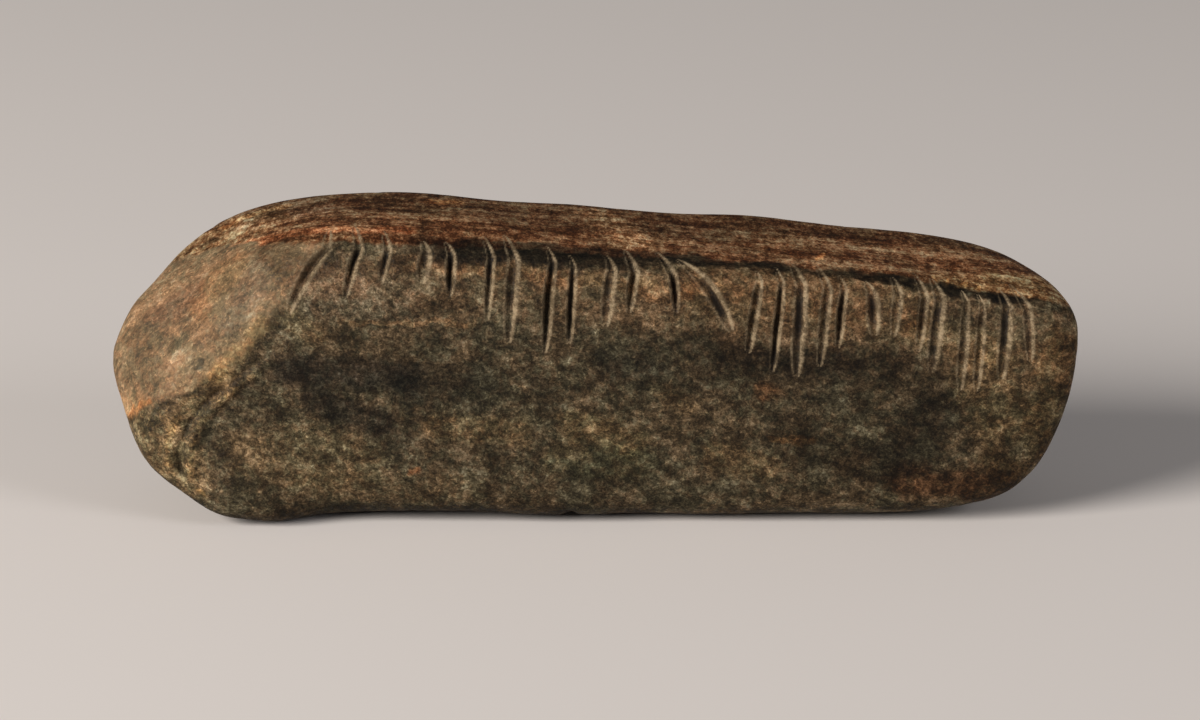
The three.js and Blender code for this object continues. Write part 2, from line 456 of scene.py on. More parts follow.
share = named(tree, "share")
over = named(tree, "over")
reach = tree.math("MULTIPLY", tree.math("ADD", over, named(tree, "down")), share)
travel = tree.math("SUBTRACT", reach, over)
swing = tree.math("MULTIPLY", named(tree, "lean"), tree.math("SUBTRACT", share, given["Pivot"]))
place = tree.add("GeometryNodeInputPosition").outputs[0]
wobble_place = tree.vector("ADD", place, tree.scaled((0, 0, 1), travel))
shake = tree.math("SUBTRACT", tree.noise(wobble_place, WOBBLE_WAVE), 0.5)
swing = tree.math("ADD", swing, tree.math("MULTIPLY", shake, given["Wobble"]))
back = tree.math("MAXIMUM", tree.math("MULTIPLY", travel, -1), 0)
down = tree.math("MAXIMUM", travel, 0)
swing = tree.math("SUBTRACT", swing, tree.math("MULTIPLY", back, given["Kink Over"]))
swing = tree.math("SUBTRACT", swing, tree.math("MULTIPLY", down, given["Kink Down"]))
bend = tree.add("ShaderNodeCombineXYZ", {"Y": back, "Z": tree.math("MULTIPLY", down, -1)}).outputs[0]
aim = tree.vector("ADD", tree.vector("ADD", place, tree.scaled(given["Edge"], swing)), bend)
aim_x = tree.add("ShaderNodeSeparateXYZ", {0: aim}).outputs["X"]
source = tree.vector("ADD", given["Heart"], tree.scaled((1, 0, 0), aim_x))
target = tree.add("GeometryNodeObjectInfo", {"Object": given["Stone"]}).outputs["Geometry"]
ray = tree.add("GeometryNodeRaycast", {
    "Target Geometry": target, "Source Position": source, "Ray Length": 1.0,
    "Ray Direction": tree.vector("SUBTRACT", aim, source),
})
laid = tree.add("GeometryNodeSetPosition",
                {"Geometry": laid.outputs[0], "Position": ray.outputs["Hit Position"]})
tree.add("NodeGroupOutput", {0: laid.outputs[0]})

skin = bpy.data.objects.new("skin", stone)
bpy.context.scene.collection.objects.link(skin)
lines = applied(marks, lay_group, {
    "Stone": skin, "Points": LINE_POINTS, "Pivot": LEAN_PIVOT,
    "Heart": tuple(standing(np.zeros((1, 3)))[0] * (0, 1, 1)), "Edge": tuple(edge_run),
    "Kink Over": KINK_OVER, "Kink Down": KINK_DOWN, "Wobble": WOBBLE,
})
print("points on stroke lines:", len(lines.vertices))

# %% [markdown]
# ## Finer squares where they are needed
# A stroke is barely wider than one square of the grid. Rather than a finer grid all over,
# the squares near the strokes are halved twice, and the new corners moved out to the skin.

# %% Halve the squares near the strokes
HALVING_REACHES = (1.5 * MM, 0.95 * MM)

# Creases and the ridge beside them at the lower left, as points along and up the front.
CREASE = ((-35.5, 21.6), (-38.6, 19.3), (-40.4, 17.8), (-42.4, 16.3), (-44.1, 14.7), (-45.5, 12.9),
          (-46.8, 9.9), (-47.0, 8.7), (-46.7, 6.6))
SECOND_CREASE = ((-38.8, 17.5), (-41.6, 14.6), (-43.2, 12.0), (-44.2, 9.0), (-44.3, 6.6))
RIDGE = ((-37.6, 19.0), (-39.8, 17.0), (-42.4, 14.9), (-44.2, 12.8), (-45.4, 10.0), (-45.5, 6.8))


def refined(mesh, near, reaches):
    tree = kdtree.KDTree(len(near))
    for i, spot in enumerate(near):
        tree.insert(spot, i)
    tree.balance()
    work = bmesh.new()
    work.from_mesh(mesh)
    for reach in reaches:
        close = []
        for edge in work.edges:
            middle = (edge.verts[0].co + edge.verts[1].co) / 2
            if tree.find(middle)[2] < reach:
                close.append(edge)
        bmesh.ops.subdivide_edges(work, edges=close, cuts=1, use_grid_fill=True,
                                  use_single_edge=True)
        places = np.array([vertex.co for vertex in work.verts])
        for vertex, spot in zip(work.verts, standing(on_skin(lying(places)))):
            vertex.co = spot
    for face in work.faces:
        face.smooth = True
    result = bpy.data.meshes.new("stone")
    work.to_mesh(result)
    work.free()
    return result


CREASE_STEPS = 40
CREASE_FRONT = -9.0

steps = np.linspace(0, 1, CREASE_STEPS)
crease_lines = []
for points in (CREASE, RIDGE):
    points = np.array(points)
    far = np.linspace(0, 1, len(points))
    along = np.interp(steps, far, points[:, 0])
    up = np.interp(steps, far, points[:, 1])
    crease_lines.append(np.stack([along, np.full(CREASE_STEPS, CREASE_FRONT), up], -1) * MM)
fine = np.concatenate([vertices(lines), *crease_lines])
stone = refined(stone, fine, HALVING_REACHES)
stone.calc_loop_triangles()
print("triangles:", len(stone.loop_triangles))

# %% [markdown]
# ## Folds, chips and the flat bed
# A few marks happened once, so they are listed one by one: folds in the beds at the lower left,
# nicks on the outline, and the flat that the stone rests on.

# %% Folds and chips
# Points along and up the front in millimetres, then the spread and the rise.
FOLDS = {
    "crease": (CREASE[3:], 0.36, -0.26),
    "crease foot": (CREASE[5:], 0.34, -0.14),
    "crease top": (CREASE[:4], 0.34, -0.13),
    "ridge": (RIDGE, 0.50, 0.26),
    "second crease": (SECOND_CREASE, 0.40, -0.16),
    "sandy ridge": (((-46.9, 13.3), (-48.0, 10.6), (-48.0, 7.6)), 0.55, 0.22),
    "facet foot": (((-52.8, 11.9), (-50.0, 13.9), (-47.5, 14.6)), 0.35, -0.14),
}

# From and to in millimetres on the finished stone, then the spread and the rise.
CHIPS = {
    "outline nick": ((-53.6, -2.0, 13.6), (-52.2, -4.5, 12.2), 0.9, -0.35),
    "crown nick": ((-42.5, 4.0, 31.5), (-42.0, 6.0, 31.8), 1.2, -0.3),
    "lower edge nick": ((-2.6, -8.0, 1.5), (-2.2, -6.0, 0.6), 0.6, -0.5),
    "right toe chip": ((48.5, -6.0, 6.0), (49.5, -4.0, 7.5), 1.4, -0.35),
    "right end nick": ((52.3, -5.0, 12.5), (53.0, -3.0, 12.0), 1.0, -0.3),
}

places = vertices(stone)
normals = np.empty(3 * len(places), np.float32)
stone.vertex_normals.foreach_get("vector", normals)
normals = normals.reshape(-1, 3)
fold = np.zeros(len(places))
front_places = places * (1, 0, 1)
for points, spread, rise in FOLDS.values():
    lengths = [bump(front_places, np.array([start[0], 0, start[1]]) * MM,
                    np.array([end[0], 0, end[1]]) * MM, spread * MM, 1.0)
               for start, end in zip(points, points[1:])]
    fold += rise * np.max(lengths, axis=0)
fold *= np.clip(-places[:, 1] / (3 * MM), 0, 1)
relief = fold * MM
for start, end, spread, rise in CHIPS.values():
    relief += bump(places, np.array(start) * MM, np.array(end) * MM, spread * MM, rise * MM)
places += normals * relief[:, None]
set_vertices(stone, places)
attribute(stone, "fold", fold)

# %% [markdown]
# ## Cutting and weathering
# The second tree follows the surface. For each point of the skin it finds the nearest stroke
# line, and sinks the point by a rounded wedge as wide and deep as that stroke is there. The
# rest of the skin gets slow hollows, pits and ridges along the beds. What was cut is kept as
# attributes, because the cut walls are painted paler and less speckled, as clean stone and as
# painted light that is strongest on the right wall, which faces the lamp, and the bottom and
# left wall of a groove are painted dark, as dirt and as painted shade.

# %% The tree that cuts and weathers
# Where the bottom of a groove lies between its left lip at -1 and its right lip at 1.
GROOVE_BOTTOM = -0.1
# The middle of a stroke's length is where this power of the way along it is a half.
LENGTH_POWER = 1.4
# How fast a stroke narrows towards its ends.
WIDTH_POWER = 0.4

tree, given, carve_group = geometry_tree("Cut and weather", {
    "Strokes": "Object", "Taper": "Float", "Hollows": "Float", "Pits": "Float",
    "Ridges": "Float", "Material": "Material",
})
lines_there = tree.add("GeometryNodeObjectInfo", {"Object": given["Strokes"]}).outputs["Geometry"]
place = tree.add("GeometryNodeInputPosition").outputs[0]
nearest = tree.add("GeometryNodeProximity", {"Geometry": lines_there}, target_element="EDGES")
distance = nearest.outputs["Distance"]
beside = tree.vector("SUBTRACT", place, nearest.outputs["Position"])
beside = tree.add("ShaderNodeSeparateXYZ", {0: beside}).outputs["X"]
which = tree.add("GeometryNodeSampleNearest", {0: lines_there}).outputs[0]
share = named(tree, "share")
off_middle = tree.math("MULTIPLY", tree.math("POWER", share, LENGTH_POWER), 2)
off_middle = tree.math("ABSOLUTE", tree.math("SUBTRACT", off_middle, 1))
fade = tree.math("SUBTRACT", 1, tree.math("POWER", off_middle, given["Taper"]))


def there(value):
    node = tree.add("GeometryNodeSampleIndex", {0: lines_there, "Value": value, "Index": which})
    return node.outputs[0]


wide = there(tree.math("MULTIPLY", tree.math("MULTIPLY", named(tree, "width"), 0.5),
                       tree.math("POWER", fade, WIDTH_POWER)))
travel = tree.math("MULTIPLY_ADD", tree.math("ADD", named(tree, "over"), named(tree, "down")),
                   share, tree.math("MULTIPLY", named(tree, "over"), -1))
below = tree.rise(travel, -1.5 * MM, 1.5 * MM)
depth = tree.math("MULTIPLY", named(tree, "depth"), tree.math("MULTIPLY_ADD", below, 0.5, 0.5))
deep_here = tree.math("MULTIPLY", depth, fade)
deep = there(deep_here)
across = tree.math("DIVIDE", distance, tree.math("MAXIMUM", wide, 1e-6))
across = tree.math("MULTIPLY", across, tree.math("SIGN", beside))
left_wall = tree.rise(across, -1.0, GROOVE_BOTTOM, smooth=False)
right_wall = tree.rise(across, 1.0, GROOVE_BOTTOM, smooth=False)
wedge = tree.math("MINIMUM", left_wall, right_wall)
bite = tree.math("MULTIPLY", deep, wedge)

hollow = tree.math("SUBTRACT", tree.noise(place, 9 * MM, 3.0), 0.5)
relief = tree.math("MULTIPLY", hollow, given["Hollows"])
pocks = tree.add("ShaderNodeTexVoronoi", {"Vector": place, "Scale": 1 / (2.6 * MM)})
pock = tree.rise(pocks.outputs["Distance"], 0.42, 0.1)
pock = tree.math("MULTIPLY", pock, tree.rise(tree.noise(place, 5 * MM), 0.5, 0.62))
relief = tree.math("SUBTRACT", relief, tree.math("MULTIPLY", pock, given["Pits"]))
beds = tree.vector("MULTIPLY", place, (0.16, 1, 1))
ridge = tree.math("SUBTRACT", tree.noise(beds, 1.5 * MM, 3.0), 0.5)
relief = tree.math("ADD", relief, tree.math("MULTIPLY", ridge, given["Ridges"]))
relief = tree.math("SUBTRACT", relief, bite)
height_here = tree.add("ShaderNodeSeparateXYZ", {0: place}).outputs["Z"]
relief = tree.math("MULTIPLY", relief, tree.rise(height_here, 0, 1.5 * MM))
normal = tree.add("GeometryNodeInputNormal").outputs[0]
# Pale lips of a cut, strongest on its right wall, which faces the light: clean stone and painted
# light.
right_lip = tree.math("MULTIPLY", tree.rise(across, 0.3, 0.6), tree.rise(across, 1.5, 1.0))
left_lip = tree.math("MULTIPLY", tree.rise(across, -0.65, -0.9), tree.rise(across, -1.4, -1.05))
lip = tree.math("MULTIPLY_ADD", left_lip, 0.55, right_lip)
carved = tree.add("GeometryNodeStoreNamedAttribute",
                  {"Geometry": given["Geometry"], "Name": "cut", "Value": lip})
# The bottom and the left wall of a cut, which faces away from the light, are painted dark: dirt and
# painted shade.
core = tree.math("MULTIPLY", tree.rise(across, -0.85, -0.55), tree.rise(across, 0.6, 0.25))
soiled_and_shaded = tree.math("MULTIPLY", below, tree.rise(deep_here, 0.15 * MM, 0.55 * MM))
soiled_and_shaded = tree.math("MULTIPLY", soiled_and_shaded, tree.math("MINIMUM", named(tree, "dirt"), 1))
core = tree.math("MULTIPLY", core, there(soiled_and_shaded))
carved = tree.add("GeometryNodeStoreNamedAttribute",
                  {"Geometry": carved.outputs[0], "Name": "cut floor", "Value": core})
carved = tree.add("GeometryNodeSetPosition",
                  {"Geometry": carved.outputs[0], "Offset": tree.scaled(normal, relief)})
carved = tree.add("GeometryNodeRealizeInstances", {0: carved.outputs[0]})
carved = tree.add("GeometryNodeSetMaterial",
                  {"Geometry": carved.outputs[0], "Material": given["Material"]})
tree.add("NodeGroupOutput", {0: carved.outputs[0]})

# %% [markdown]
# ## The colours of the stone
# Sandstone is a crowd of coloured grains in thin beds. One uneven noise says how light each
# grain is, and a ramp turns that lightness into a colour, from brownish black through olive
# brown to cream. The front, the top and the pale facet at the left each have a ramp of their
# own, and their noise is drawn out the way their beds run. Stains then tint the front and the
# top at their real places, given in millimetres along the stone and up or back from its edge.
# One tint on the front is no stain but a painted shade along its lowest edge, above the floor.

# %% Colour helpers
def mixed(tree, mask, under, over, blend="MIX"):
    """One colour over another, as far as the mask says."""
    node = tree.add("ShaderNodeMix", data_type="RGBA", blend_type=blend)
    for key, value in ((0, mask), (6, under), (7, over)):
        colour = isinstance(value, tuple) and len(value) == 3
        tree.feed(node.inputs[key], (*value, 1) if colour else value)
    return node.outputs[2]


def ramp(tree, value, stops):
    """The colour at a lightness, from stops of a lightness and a colour."""
    node = tree.add("ShaderNodeValToRGB", {0: value})
    elements = node.color_ramp.elements
    while len(elements) < len(stops):
        elements.new(0.5)
    for element, (position, colour) in zip(elements, sorted(stops.items())):
        element.position = position
        element.color = (*colour, 1)
    return node.outputs[0]


def streaked(tree, place, direction, keep):
    """The place with most of its travel along a direction taken away, so noise is drawn out."""
    direction = Vector(direction).normalized()
    travel = tree.vector("DOT_PRODUCT", place, tuple(direction))
    back = tree.scaled(tuple(direction), tree.math("MULTIPLY", travel, keep - 1))
    return tree.vector("ADD", place, back)


def shaken(tree, place, shake, reach):
    """The place moved about by a coloured noise, so an edge drawn there wanders."""
    shake = tree.vector("SUBTRACT", shake, (0.5, 0.5, 0.5))
    return tree.vector("ADD", place, tree.scaled(shake, 2 * reach))


def band(tree, value, start, end, soft):
    """A mask that is one between start and end."""
    up = tree.rise(value, start - soft, start + soft)
    down = tree.rise(value, end + soft, end - soft)
    return tree.math("MULTIPLY", up, down)


def tinted_along_lines(tree, colour, place, stains):
    """The colour tinted along short lines, each a start, an end, a radius and a tint."""
    for start, end, radius, tint in stains.values():
        start = Vector((start[0], 0, start[1]))
        end = Vector((end[0], 0, end[1]))
        line = end - start
        along = tree.vector("DOT_PRODUCT", place, tuple(line))
        along = tree.rise(along, start.dot(line), end.dot(line), smooth=False)
        near = tree.vector("ADD", tree.scaled(tuple(line), along), tuple(start))
        away = tree.vector("DISTANCE", place, near)
        mask = tree.rise(away, 1.5 * radius, 0.5 * radius)
        colour = mixed(tree, mask, colour, tint, "MULTIPLY")
    return colour


# %% The sandstone
FRONT_GRAINS = {
    0.10: (0.011, 0.0075, 0.0035),
    0.30: (0.026, 0.0185, 0.0095),
    0.45: (0.054, 0.039, 0.021),
    0.58: (0.098, 0.072, 0.041),
    0.72: (0.162, 0.124, 0.077),
    0.92: (0.310, 0.255, 0.173),
}
TOP_GRAINS = {
    0.15: (0.014, 0.0045, 0.001),
    0.38: (0.040, 0.0150, 0.005),
    0.52: (0.090, 0.040, 0.0165),
    0.64: (0.146, 0.079, 0.038),
    0.85: (0.255, 0.168, 0.095),
}
FACET_GRAINS = {
    0.12: (0.060, 0.042, 0.024),
    0.34: (0.130, 0.084, 0.046),
    0.52: (0.218, 0.137, 0.074),
    0.68: (0.305, 0.198, 0.113),
    0.90: (0.430, 0.325, 0.215),
}

# What each bed and mark multiplies the colour under it by.
ZONE_TINT = (1.07, 0.97, 0.91)
RUSTY_BED_TINT = (1.72, 1.67, 1.70)
BLACK_BED_TINT = (0.19, 0.19, 0.18)
TAN_BED_TINT = (1.42, 1.20, 1.04)
GREEN_GRAIN_TINT = (0.92, 1.02, 1.00)
RED_GRAIN_TINT = (1.09, 0.98, 0.90)
SCRATCH_TINT = (1.7, 1.65, 1.6)
# Painted shade in the creases at the lower left.
CREASE_SHADE_TINT = (0.34, 0.33, 0.34)
RUBBED_TINT = (1.75, 1.68, 1.55)

# The walls of a cut, clean stone painted paler and partly painted light, from dark to light, and
# the dirt and painted shade at its bottom and on its left wall.
CUT_WALL_DARK = (0.14, 0.098, 0.054)
CUT_WALL_LIGHT = (0.36, 0.268, 0.162)
CUT_DIRT_AND_SHADE = (0.014, 0.010, 0.007)

# Millimetres across a grain of the stone.
GRAIN = 0.30

# Start and end along and up the stone, a radius and a tint.
STAINS_AND_SHADE = {
    "front left": ((-38.0, 8.8), (-27.0, 8.8), 3.4, (1.45, 1.40, 1.32)),
    "zone left": ((-30.6, 28.2), (-21.6, 27.2), 2.6, (1.34, 1.31, 1.38)),
    "zone right": ((13.0, 28.2), (36.0, 26.2), 3.0, (1.12, 0.97, 0.86)),
    "right end": ((44.5, 17.7), (46.5, 13.5), 3.6, (1.34, 1.26, 1.12)),
    "below the facet": ((-51.0, 11.0), (-46.5, 6.5), 3.2, (2.00, 1.90, 1.75)),
    "above the crease": ((-47.0, 13.0), (-41.6, 17.9), 1.5, (2.00, 1.88, 1.72)),
    "dark left": ((-34.1, 19.0), (-20.4, 18.2), 2.0, (0.40, 0.41, 0.45)),
    "dark left lower": ((-31.2, 15.5), (-23.8, 12.8), 1.6, (0.50, 0.50, 0.53)),
    "dark left middle": ((-20.5, 17.4), (-12.5, 17.4), 2.5, (0.50, 0.52, 0.52)),
    "dark middle left": ((-6.0, 17.6), (-4.2, 14.8), 1.3, (0.58, 0.60, 0.60)),
    "tan patch": ((8.0, 17.2), (10.5, 14.6), 1.2, (1.50, 1.45, 1.38)),
    "dark middle": ((1.0, 20.2), (8.0, 18.8), 1.3, (0.60, 0.62, 0.63)),
    "dark band": ((4.0, 20.0), (40.0, 17.0), 3.6, (0.74, 0.74, 0.73)),
    "dark right middle": ((12.4, 22.0), (33.8, 19.6), 2.2, (0.62, 0.60, 0.58)),
    "dark under strokes": ((15.5, 20.2), (28.5, 19.8), 1.6, (0.62, 0.61, 0.59)),
    "dark right": ((38.5, 14.6), (35.8, 9.0), 2.7, (0.34, 0.34, 0.32)),
    "dark right low": ((22.6, 11.8), (33.0, 7.2), 2.6, (0.50, 0.48, 0.45)),
    "rust right low": ((35.3, 6.0), (46.7, 4.8), 2.0, (0.72, 0.52, 0.42)),
    "right low": ((45.5, 8.2), (48.0, 6.8), 1.8, (0.68, 0.60, 0.50)),
    "brown right end": ((52.4, 21.2), (51.9, 9.7), 2.5, (1.08, 0.96, 0.82)),
    # A painted shade along the lowest edge of the front, just above the floor.
    "painted shade at the low edge": ((-40.0, 1.0), (5.0, 1.4), 1.5, (0.52, 0.51, 0.50)),
    "pale under strokes": ((-33.4, 25.4), (-31.4, 23.4), 1.5, (1.55, 1.47, 1.38)),
    "ringed patch": ((36.5, 23.5), (47.0, 21.2), 1.8, (1.35, 1.32, 1.25)),
    "low left": ((-33.0, 5.2), (-14.0, 5.0), 1.6, (1.25, 1.22, 1.18)),
    "dark left low": ((-25.0, 11.5), (-21.5, 10.6), 1.3, (0.60, 0.60, 0.60)),
    "tan left": ((-17.5, 12.6), (-8.3, 12.0), 1.6, (1.50, 1.38, 1.25)),
    "tan middle": ((-2.0, 12.4), (4.6, 10.6), 1.9, (1.45, 1.38, 1.22)),
    "tan right middle": ((14.5, 9.0), (19.5, 7.2), 1.6, (1.50, 1.42, 1.30)),
    "green low": ((-3.7, 8.4), (5.4, 7.8), 1.8, (0.78, 0.86, 0.80)),
    "rust spot": ((19.4, 16.9), (20.8, 16.7), 1.0, (1.60, 1.18, 0.98)),
    "rust line": ((20.4, 11.1), (24.9, 10.7), 0.5, (1.80, 1.40, 1.10)),
    "rust dot": ((-20.6, 7.2), (-20.0, 7.4), 0.6, (1.50, 0.92, 0.70)),
    "pale line": ((-28.4, 24.8), (-12.9, 24.8), 0.30, (1.90, 1.65, 1.50)),
    "dark corner": ((-36.3, 31.0), (-30.0, 31.2), 1.5, (0.50, 0.47, 0.44)),
    "dark line at the right": ((40.0, 28.6), (50.0, 27.4), 0.9, (0.45, 0.43, 0.40)),
    "facet orange": ((-40.2, 29.7), (-44.6, 24.9), 1.2, (1.05, 0.94, 0.84)),
    "facet foot": ((-53.0, 11.9), (-49.9, 14.6), 0.35, (1.00, 0.76, 0.60)),
    "facet grey": ((-37.4, 29.1), (-41.0, 24.0), 1.3, (0.78, 0.82, 0.88)),
    "facet edge": ((-36.7, 24.6), (-42.4, 18.3), 0.9, (1.25, 1.20, 1.05)),
    "facet pink": ((-50.0, 24.2), (-46.2, 26.5), 2.2, (0.80, 0.74, 0.76)),
    "facet left": ((-52.5, 22.0), (-50.0, 14.5), 3.0, (0.84, 0.83, 0.82)),
    "facet fleck": ((-44.0, 19.7), (-44.4, 19.0), 0.35, (0.50, 0.55, 0.60)),
    "facet fleck left": ((-46.8, 21.4), (-47.4, 20.6), 0.45, (0.65, 0.70, 0.70)),
    "sandy fleck": ((-44.5, 4.7), (-44.1, 4.5), 0.4, (1.80, 1.60, 1.30)),
}

# The same along the stone and down from the top edge, which is less than nought on the top.
TOP_STAINS = {
    "scratched": ((4.5, -7.0), (1.0, -14.5), 2.3, (2.05, 2.22, 2.40)),
    "white fleck": ((25.5, -7.0), (26.5, -8.5), 0.45, (2.50, 2.30, 2.00)),
    "tan fleck": ((-18.0, -14.0), (-16.0, -14.2), 0.9, (1.80, 1.60, 1.30)),
    "crown": ((-39.0, -9.0), (-32.0, -11.0), 2.5, (1.36, 1.54, 1.80)),
    "crown left": ((-48.0, -3.0), (-38.0, -7.5), 3.0, (1.12, 1.28, 1.30)),
    "crown pale": ((-42.0, -8.5), (-35.0, -11.5), 0.6, (2.00, 1.90, 1.70)),
    "crown patch": ((-44.4, -5.0), (-43.2, -5.6), 0.8, (0.45, 0.50, 0.50)),
    "nose": ((42.0, -3.0), (52.0, -6.0), 3.4, (1.40, 1.75, 1.80)),
    "salmon": ((-38.5, -2.2), (-21.0, -4.3), 1.0, (1.85, 1.58, 1.52)),
    "scratch one": ((38.5, -2.2), (38.7, -4.6), 0.25, (2.00, 1.90, 1.70)),
    "scratch two": ((40.1, -2.2), (40.2, -4.4), 0.25, (2.00, 1.90, 1.70)),
    "scratch three": ((41.7, -2.0), (41.9, -4.2), 0.25, (2.00, 1.90, 1.70)),
    "scratch four": ((43.2, -1.8), (43.5, -3.8), 0.25, (2.00, 1.90, 1.70)),
}

sandstone = bpy.data.materials.new("sandstone")
sandstone.use_nodes = True
nodes = sandstone.node_tree.nodes
nodes.remove(nodes["Principled BSDF"])
tree = Tree(sandstone.node_tree)


def kept(name):
    return tree.add("ShaderNodeAttribute", attribute_name=name).outputs["Fac"]


place = tree.scaled(tree.add("ShaderNodeTexCoord").outputs["Object"], 1 / MM)
slow_shake = tree.noise(place, 4.0, 2.0, 0.6, output=1)
quick_shake = tree.noise(place, 0.8, 2.0, 0.6, output=1)
wandering = shaken(tree, shaken(tree, place, slow_shake, 1.5), quick_shake, 0.25)
ragged = shaken(tree, place, quick_shake, 0.35)
front_light = tree.noise(streaked(tree, ragged, (1, 0, -0.2), 0.75), 2.3, 4.0, 1.0)
facet_light = tree.noise(streaked(tree, ragged, (-0.6, 0.16, -0.78), 0.5), 2.8, 4.0, 1.0)
top_grain = tree.noise(streaked(tree, ragged, (0, 1, 0), 0.7), 1.4, 3.0, 1.0)
top_beds = tree.noise(streaked(tree, ragged, (1, -0.04, -0.08), 0.12), 2.4, 3.0, 0.8)
flow = tree.add("ShaderNodeSeparateXYZ", {0: wandering}).outputs
fast = tree.add("ShaderNodeSeparateXYZ", {0: quick_shake}).outputs
slow = tree.add("ShaderNodeSeparateXYZ", {0: slow_shake}).outputs

# How far down the front from the top edge, and less than nought over the top.
edge = edge_middle / MM
slope = edge_run[1] + edge_run[2]
drop = tree.vector("DOT_PRODUCT", wandering, (slope, -1, -1))
drop = tree.math("ADD", drop, edge[1] + edge[2])

# The black bed that parts the front from the top climbs over the edge towards the right.
sunk = tree.math("MULTIPLY_ADD", tree.rise(flow["X"], -24, 10, smooth=False), -3.4, 0.4)
sunk = tree.math("MULTIPLY_ADD", tree.rise(flow["X"], 30, 46, smooth=False), 1.2, sunk)
under_bed = tree.math("SUBTRACT", drop, sunk)

# The front is palest in the inscribed zone under that bed.
zone = tree.math("MULTIPLY", tree.rise(under_bed, -1.0, 2.0), tree.rise(drop, 10.0, 7.0))
lift = tree.math("MULTIPLY", zone, 0.08)
light = tree.math("MULTIPLY_ADD", front_light, 2.05, -0.598)
front = ramp(tree, tree.math("ADD", light, lift), FRONT_GRAINS)
front = mixed(tree, zone, front, ZONE_TINT, "MULTIPLY")

# The facet is cut off by two lines, one down its right side and one along its foot.
across_facet = tree.vector("DOT_PRODUCT", wandering, (0.783, 0, -0.623))
up_facet = tree.vector("DOT_PRODUCT", wandering, (-0.529, 0, 0.849))
facet = tree.math("MULTIPLY",
                  tree.rise(across_facet, -42.9, -44.9), tree.rise(up_facet, 37.9, 38.7))
light = tree.math("MULTIPLY_ADD", facet_light, 1.8, -0.42)
front = mixed(tree, facet, front, ramp(tree, light, FACET_GRAINS))

flat = tree.vector("MULTIPLY", wandering, (1, 0, 1))
tinted = tinted_along_lines(tree, front, flat, STAINS_AND_SHADE)
front = mixed(tree, tree.rise(flow["Y"], 0.5, -1.5), front, tinted)

# The top is dark and red, with a wide rusty bed in front that takes in its whole right end.
beds_light = tree.math("MULTIPLY_ADD", top_beds, 1.3, -0.875)
light = tree.math("MULTIPLY_ADD", top_grain, 1.5, beds_light)
top = ramp(tree, light, TOP_GRAINS)
reach = tree.math("MULTIPLY_ADD", tree.rise(flow["X"], 12, 30), -6.0, -9.0)
rust = tree.rise(tree.math("SUBTRACT", drop, reach), -1.2, 1.2)
top = mixed(tree, rust, top, RUSTY_BED_TINT, "MULTIPLY")
along_top = tree.add("ShaderNodeCombineXYZ", {"X": flow["X"], "Z": drop}).outputs[0]
top = tinted_along_lines(tree, top, along_top, TOP_STAINS)
crown = tree.math("MULTIPLY_ADD", tree.rise(flow["X"], -34, -42), 2.8, under_bed)
colour = mixed(tree, tree.rise(crown, -0.1, -1.1), front, top)

# The black bed is uneven and dies away at both ends, and lies over a tan one in the middle.
ragged_drop = tree.math("MULTIPLY_ADD", tree.math("SUBTRACT", top_beds, 0.5), 3.0, drop)
thick = tree.math("MULTIPLY_ADD", tree.rise(flow["X"], -4, 20), -1.6, 2.7)
from_black = tree.math("DIVIDE", tree.math("SUBTRACT", ragged_drop, sunk), thick)
black = band(tree, from_black, -1.0, 1.0, 0.26)
black = tree.math("MULTIPLY", black, band(tree, flow["X"], -20, 50, 4))
patches = tree.math("MAXIMUM", tree.rise(slow["X"], 0.42, 0.54), tree.rise(flow["X"], 14, 0))
black = tree.math("MULTIPLY", black, tree.math("MULTIPLY_ADD", patches, 0.7, 0.3))
colour = mixed(tree, black, colour, BLACK_BED_TINT, "MULTIPLY")
tan = band(tree, ragged_drop, 1.2, 3.8, 0.7)
tan = tree.math("MULTIPLY", tan, band(tree, flow["X"], -20, 14, 8))
colour = mixed(tree, tan, colour, TAN_BED_TINT, "MULTIPLY")

# Redder and greener grains, and fine pale scratches.
hue = tree.rise(tree.math("ADD", fast["X"], slow["Y"]), 0.8, 1.2)
grain_tint = mixed(tree, hue, GREEN_GRAIN_TINT, RED_GRAIN_TINT)
colour = mixed(tree, 1.0, colour, grain_tint, "MULTIPLY")
wisps = tree.math("ABSOLUTE", tree.math("SUBTRACT", tree.noise(wandering, 1.1, 2.0, 0.6), 0.5))
wisps = tree.math("MULTIPLY", tree.rise(wisps, 0.025, 0.004), tree.rise(fast["Z"], 0.46, 0.56))
colour = mixed(tree, wisps, colour, SCRATCH_TINT, "MULTIPLY")

# The creases are darkened with painted shade, and the ridges beside them are rubbed pale.
fold = kept("fold")
crease_shade = tree.math("MULTIPLY", tree.rise(fold, -0.08, -0.34), tree.rise(slow["Z"], 0.36, 0.54))
colour = mixed(tree, crease_shade, colour, CREASE_SHADE_TINT, "MULTIPLY")
rubbed = tree.math("MULTIPLY", tree.rise(fold, 0.04, 0.22), tree.rise(fast["Y"], 0.40, 0.56))
colour = mixed(tree, rubbed, colour, RUBBED_TINT, "MULTIPLY")

# Each grain has its own lightness.
cells = tree.add("ShaderNodeTexVoronoi", {"Vector": ragged, "Scale": 1 / GRAIN})
grain = tree.add("ShaderNodeSeparateColor", {0: cells.outputs["Color"]}).outputs
lightness = tree.add("ShaderNodeMapRange", {"Value": grain[0], "To Min": 0.76, "To Max": 1.24})
colour = tree.scaled(colour, lightness.outputs[0])

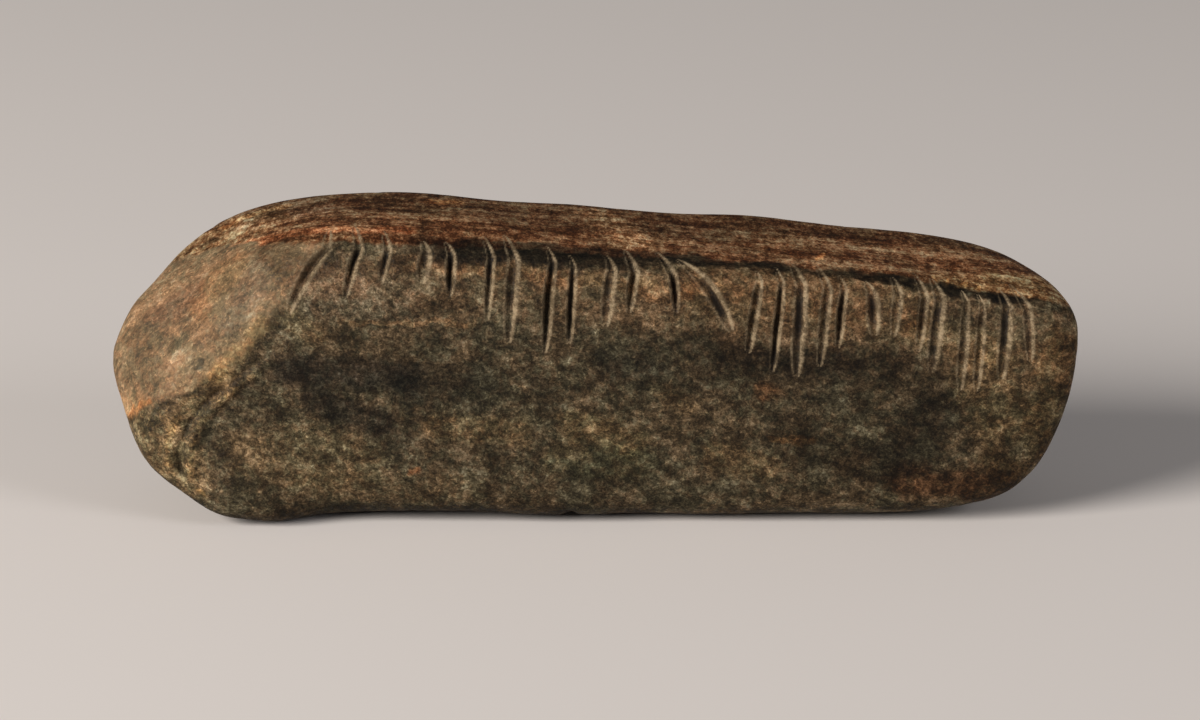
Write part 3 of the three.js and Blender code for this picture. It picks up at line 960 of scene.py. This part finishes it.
# The walls of the cuts are pale, as clean stone and as painted light, with dirt and painted
# shade at the bottom and on the left wall.
worn_cut = tree.rise(tree.noise(place, 1.8, 3.0, 0.7), 0.30, 0.58)
cut = tree.math("MULTIPLY", kept("cut"), tree.math("MULTIPLY_ADD", worn_cut, 0.6, 0.3))
cut_colour = mixed(tree, tree.rise(front_light, 0.40, 0.60), CUT_WALL_DARK, CUT_WALL_LIGHT)
colour = mixed(tree, cut, colour, cut_colour)
dirt = tree.rise(tree.noise(tree.vector("MULTIPLY", place, (1, 1, 0.5)), 2.2), 0.32, 0.52)
dirt = tree.math("MULTIPLY", kept("cut floor"), tree.math("MULTIPLY_ADD", dirt, 0.7, 0.22))
colour = mixed(tree, dirt, colour, CUT_DIRT_AND_SHADE)

grit = tree.add("ShaderNodeTexVoronoi", {"Vector": place, "Scale": 1 / GRAIN})
skin_height = tree.math("MULTIPLY_ADD", grit.outputs["Distance"], -0.5, tree.noise(place, 0.6))
relief = tree.add("ShaderNodeBump", {"Height": skin_height, "Strength": 0.5,
                                     "Distance": 0.2 * MM}).outputs[0]
shine = tree.add("ShaderNodeMapRange", {"Value": grain[0], "To Min": 0.55, "To Max": 0.85})
surface = tree.add("ShaderNodeBsdfPrincipled", {
    "Base Color": colour, "Roughness": shine.outputs[0], "Normal": relief,
    "Specular IOR Level": 0.14,
})
tree.feed(nodes["Material Output"].inputs["Surface"], surface.outputs[0])
print("shader nodes:", len(nodes))

# %% Cut the strokes
line_object = bpy.data.objects.new("stroke lines", lines)
bpy.context.scene.collection.objects.link(line_object)
carved = applied(stone, carve_group, {
    "Strokes": line_object, "Taper": float(END_TAPER), "Hollows": 0.3 * MM, "Pits": 0.12 * MM,
    "Ridges": 0.12 * MM, "Material": sandstone,
})
for thing in (skin, line_object):
    bpy.data.objects.remove(thing)
carved_places = vertices(carved)
carved_places[:, 2] = np.maximum(carved_places[:, 2], 0)
set_vertices(carved, carved_places)

slab = bpy.data.objects.new("sandstone_slab", carved)
bpy.context.scene.collection.objects.link(slab)

# %% Floor
PAPER_HALF = 3.0
PAPER_COLOUR = (0.80, 0.74, 0.70, 1)

floor_mesh = bpy.data.meshes.new("floor")
corners = [(x * PAPER_HALF, y * PAPER_HALF, 0) for x, y in ((-1, -1), (1, -1), (1, 1), (-1, 1))]
floor_mesh.from_pydata(corners, [], [(0, 1, 2, 3)])
floor = bpy.data.objects.new("floor", floor_mesh)
bpy.context.scene.collection.objects.link(floor)
paper = bpy.data.materials.new("paper")
paper.use_nodes = True
paper_surface = paper.node_tree.nodes["Principled BSDF"]
paper_surface.inputs["Base Color"].default_value = PAPER_COLOUR
paper_surface.inputs["Roughness"].default_value = 0.9
floor.data.materials.append(paper)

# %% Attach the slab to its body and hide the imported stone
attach(slab, "root")
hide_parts("ogham_stone")
